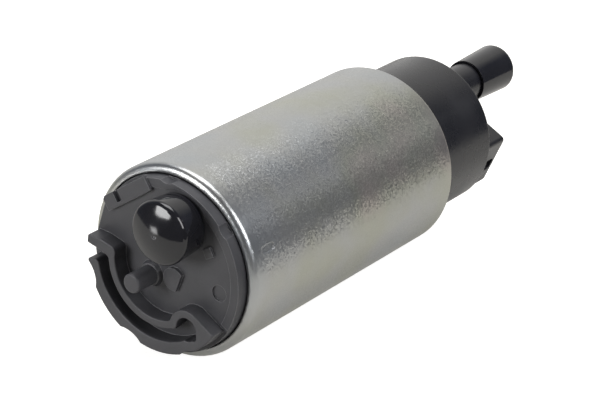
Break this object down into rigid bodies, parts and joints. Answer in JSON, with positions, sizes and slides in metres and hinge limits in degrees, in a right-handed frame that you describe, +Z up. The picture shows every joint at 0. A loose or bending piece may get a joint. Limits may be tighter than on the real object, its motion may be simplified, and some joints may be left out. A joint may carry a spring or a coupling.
{
  "type": "in-tank fuel pump",
  "caption": "Cylindrical in-tank electric turbine fuel pump with a plated steel case, a moulded inlet cover, an outlet tube with a plug socket, and vinyl shipping caps.",
  "frame": {"origin": "on the motor axis, halfway along the steel case", "axes": "+X along the motor axis from inlet to outlet, +Z up as the pump lies"},
  "size_m": [0.1152, 0.038, 0.038],
  "materials": {
    "zinc_steel": "satin zinc plate with a fine grain",
    "charcoal_plastic": "matte, lightly textured",
    "black_plastic": "satin",
    "black_vinyl": "gloss, soft",
    "grey_plastic": "matte",
    "carbon": "matte, ground",
    "bright_steel": "ground",
    "spring_steel": "drawn wire",
    "phenolic": "satin",
    "laminated_steel": "stacked sheet edges",
    "nylon": "satin",
    "enamelled_copper": "gloss enamel over wire",
    "copper": "turned",
    "ferrite": "matte, ground",
    "brass": "stamped"
  },
  "bodies": {
    "pump": {"case": "zinc_steel", "inlet_cover": "charcoal_plastic", "thrust_button": "bright_steel", "pump_casing": "grey_plastic", "lower_bearing": "carbon", "upper_bearing": "carbon", "magnet_1": "ferrite", "magnet_2": "ferrite", "magnet_clip_1": "bright_steel", "magnet_clip_2": "bright_steel", "terminal_positive": "brass", "terminal_negative": "brass", "outlet_cover": "black_plastic", "brush_spring_1": "spring_steel", "brush_spring_2": "spring_steel", "brush_lead_1": "copper", "brush_lead_2": "copper", "choke_core_1": "ferrite", "choke_core_2": "ferrite", "choke_coil_1": "enamelled_copper", "choke_coil_2": "enamelled_copper", "check_seat": "brass", "check_spring": "spring_steel", "check_guide": "nylon", "relief_spring": "spring_steel", "relief_plug": "brass"},
    "rotor": {"shaft": "bright_steel", "impeller": "phenolic", "armature_core": "laminated_steel", "insulator_front": "nylon", "insulator_rear": "nylon", "windings": "enamelled_copper", "commutator": "copper"},
    "brush_holder_1": {"brush_1": "carbon"},
    "brush_holder_2": {"brush_2": "carbon"},
    "outlet_valve": {"check_poppet": "nylon"},
    "pressure_valve": {"relief_ball": "bright_steel"},
    "inlet_plug": {"inlet_cap": "black_vinyl"},
    "outlet_plug": {"outlet_cap": "black_vinyl"}
  },
  "joints": [
    {"name": "rotor_spin", "type": "hinge", "parent": "pump", "child": "rotor", "pos_m": [0, 0, 0], "axis": [1, 0, 0], "continuous": true},
    {"name": "brush_1_travel", "type": "slide", "parent": "pump", "child": "brush_holder_1", "axis": [1, 0, 0], "range_m": [0, 0.003], "stiffness_N_per_m": 120, "springref_m": -0.012, "deforming": ["brush_spring_1", "brush_lead_1"]},
    {"name": "brush_2_travel", "type": "slide", "parent": "pump", "child": "brush_holder_2", "axis": [1, 0, 0], "range_m": [0, 0.003], "stiffness_N_per_m": 120, "springref_m": -0.012, "deforming": ["brush_spring_2", "brush_lead_2"]},
    {"name": "check_valve_lift", "type": "slide", "parent": "pump", "child": "outlet_valve", "axis": [1, 0, 0], "range_m": [0, 0.002], "stiffness_N_per_m": 60, "springref_m": -0.003, "deforming": ["check_spring"]},
    {"name": "relief_valve_lift", "type": "slide", "parent": "pump", "child": "pressure_valve", "axis": [1, 0, 0], "range_m": [0, 0.0012], "stiffness_N_per_m": 400, "springref_m": -0.006, "deforming": ["relief_spring"]},
    {"name": "inlet_cap_pull", "type": "slide", "parent": "pump", "child": "inlet_plug", "axis": [-1, 0, 0], "range_m": [0, 0.012]},
    {"name": "outlet_cap_pull", "type": "slide", "parent": "pump", "child": "outlet_plug", "axis": [1, 0, 0], "range_m": [0, 0.015]}
  ]
}
